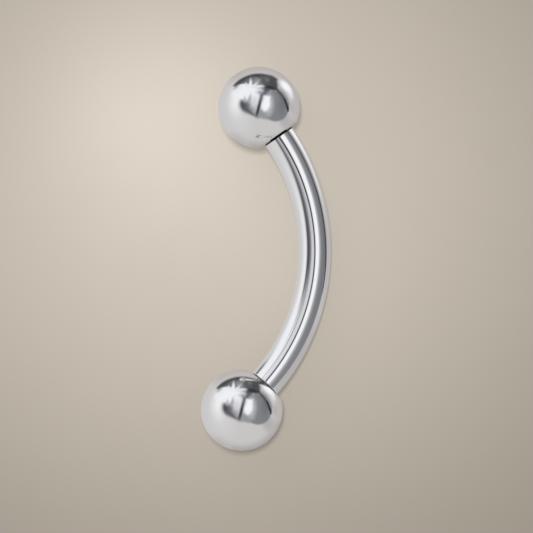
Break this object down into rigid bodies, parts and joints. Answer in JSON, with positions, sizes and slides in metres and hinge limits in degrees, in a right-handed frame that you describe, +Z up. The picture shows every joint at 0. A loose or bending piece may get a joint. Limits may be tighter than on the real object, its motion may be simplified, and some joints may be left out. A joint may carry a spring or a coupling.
{
  "type": "curved eyebrow barbell",
  "caption": "Curved round bar with threaded ends and a screw-on ball at each end, body jewellery worn through a small fold of skin.",
  "frame": {"origin": "centre of the underside of the whole barbell's box, on the surface that it lies on", "axes": "+Y along the barbell towards the upper ball, +X towards the outer side of the bend, +Z up; the bend's plane leans about Y until both balls and the middle of the bar touch the surface"},
  "size_m": [0.0042, 0.0142, 0.003],
  "materials": {
    "bar_steel": "polished",
    "ball_steel": "polished"
  },
  "bodies": {
    "bar": {"curved_bar": "bar_steel"},
    "upper_ball": {"upper_ball": "ball_steel"},
    "lower_ball": {"lower_ball": "ball_steel"}
  },
  "joints": [
    {"name": "upper_unscrew", "type": "slide", "parent": "bar", "child": "upper_ball", "axis": [-0.5675, 0.79, 0.2319], "range_m": [0, 0.0022]},
    {"name": "lower_unscrew", "type": "slide", "parent": "bar", "child": "lower_ball", "axis": [-0.5675, -0.79, 0.2319], "range_m": [0, 0.0022]}
  ]
}
